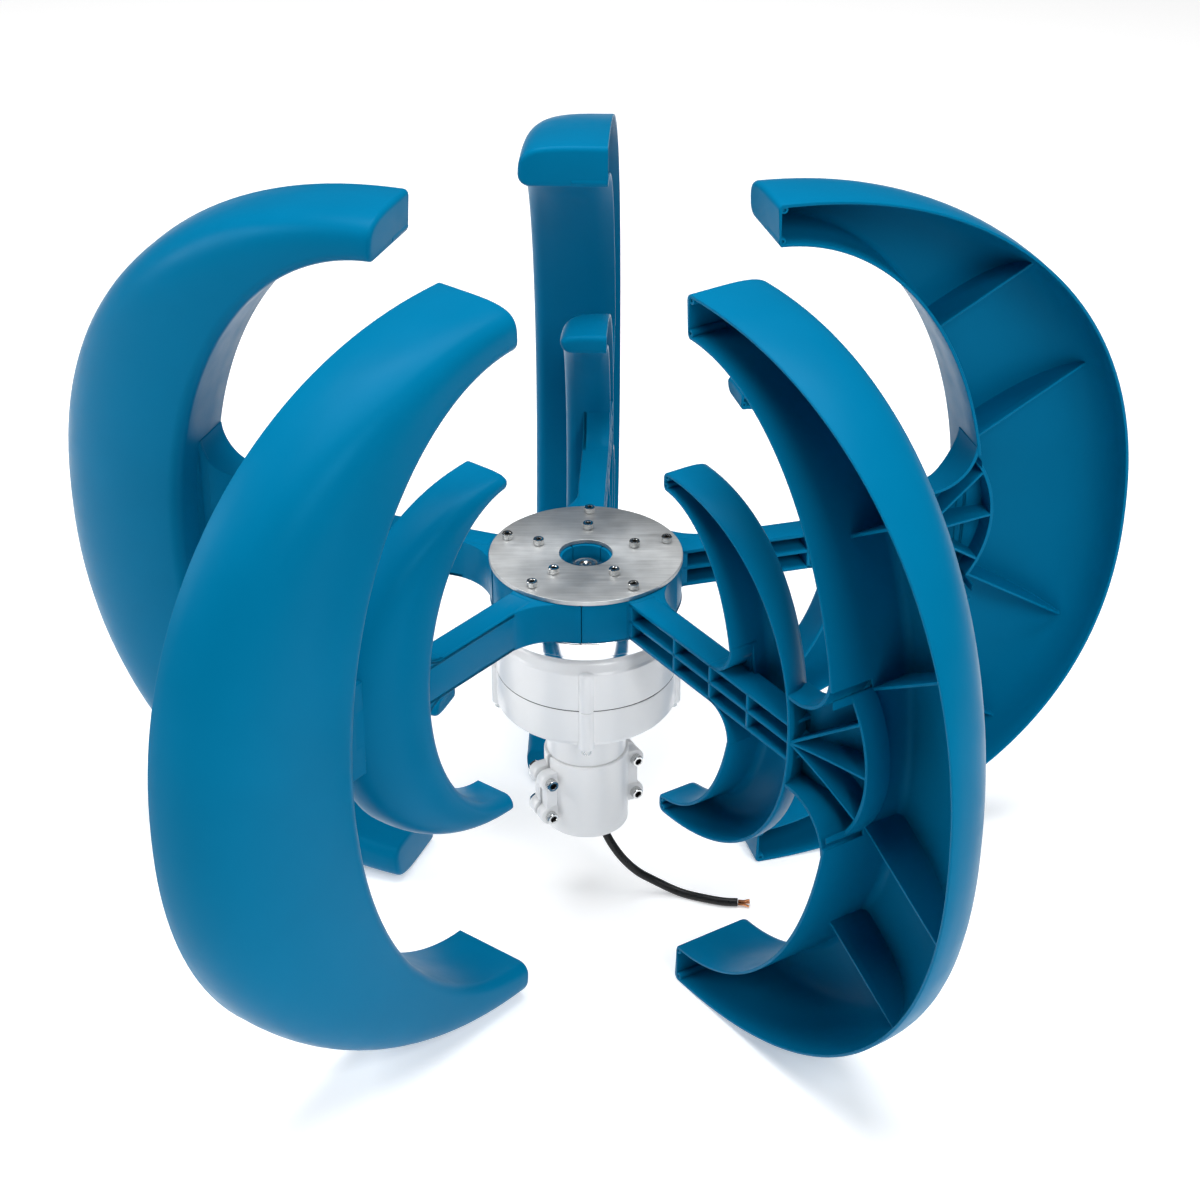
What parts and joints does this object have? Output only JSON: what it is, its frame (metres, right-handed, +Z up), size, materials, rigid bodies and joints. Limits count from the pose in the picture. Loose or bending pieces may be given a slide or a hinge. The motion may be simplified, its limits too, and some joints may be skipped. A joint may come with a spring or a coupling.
{
  "type": "vertical-axis wind turbine",
  "caption": "Small vertical-axis wind turbine: ribbed crescent blades on a clamped hub, turning on a compact generator with a split pole clamp and a power cable.",
  "frame": {"origin": "on the spin axis, at the face that the top of the pole stops against", "axes": "+Z up along the spin axis, out of the pole; +Y away from the picture's viewer; +X to the picture's right"},
  "size_m": [0.9138, 0.8885, 0.6301],
  "materials": {
    "blade_blue": "satin moulded plastic, cerulean blue",
    "plate_steel": "turned and brushed",
    "polished_aluminium": "machined and polished",
    "white_paint": "gloss white powder coat",
    "bolt_steel": "plain stainless",
    "lamination_steel": "stacked electrical steel",
    "copper": "copper wire",
    "magnet_nickel": "nickel plated",
    "black_rubber": "matte rubber",
    "cable_black": "smooth black sheath"
  },
  "bodies": {
    "stator": {"lower_housing": "white_paint", "upper_housing": "white_paint", "clamp_half_front": "white_paint", "clamp_half_rear": "white_paint", "housing_bolt_1": "bolt_steel", "housing_bolt_2": "bolt_steel", "housing_bolt_3": "bolt_steel", "housing_bolt_4": "bolt_steel", "clamp_bolt_1": "bolt_steel", "clamp_bolt_2": "bolt_steel", "clamp_bolt_3": "bolt_steel", "clamp_bolt_4": "bolt_steel", "clamp_nut_1": "bolt_steel", "clamp_nut_2": "bolt_steel", "clamp_nut_3": "bolt_steel", "clamp_nut_4": "bolt_steel", "upper_bearing_outer": "bolt_steel", "lower_bearing_outer": "bolt_steel", "stator_core": "lamination_steel", "stator_winding": "copper", "cable_core_1": "copper", "cable_core_2": "copper", "cable_core_3": "copper", "shaft_seal": "black_rubber", "cable_gland": "black_rubber", "power_cable": "cable_black"},
    "rotor": {"blade_1": "blade_blue", "blade_2": "blade_blue", "blade_3": "blade_blue", "blade_4": "blade_blue", "blade_5": "blade_blue", "top_plate": "plate_steel", "hub_flange": "polished_aluminium", "blade_bolt_1": "bolt_steel", "blade_bolt_2": "bolt_steel", "blade_bolt_3": "bolt_steel", "blade_bolt_4": "bolt_steel", "blade_bolt_5": "bolt_steel", "blade_bolt_6": "bolt_steel", "blade_bolt_7": "bolt_steel", "blade_bolt_8": "bolt_steel", "blade_bolt_9": "bolt_steel", "blade_bolt_10": "bolt_steel", "rotor_shaft": "bolt_steel", "shaft_nut": "bolt_steel", "shaft_washer": "bolt_steel", "hub_key": "bolt_steel", "rotor_core": "lamination_steel", "magnet_1": "magnet_nickel", "magnet_2": "magnet_nickel", "magnet_3": "magnet_nickel", "magnet_4": "magnet_nickel", "magnet_5": "magnet_nickel", "magnet_6": "magnet_nickel", "upper_bearing_inner": "bolt_steel", "lower_bearing_inner": "bolt_steel"}
  },
  "joints": [
    {"name": "rotor_spin", "type": "hinge", "parent": "stator", "child": "rotor", "pos_m": [0, 0, 0.2], "axis": [0, 0, 1], "continuous": true}
  ]
}
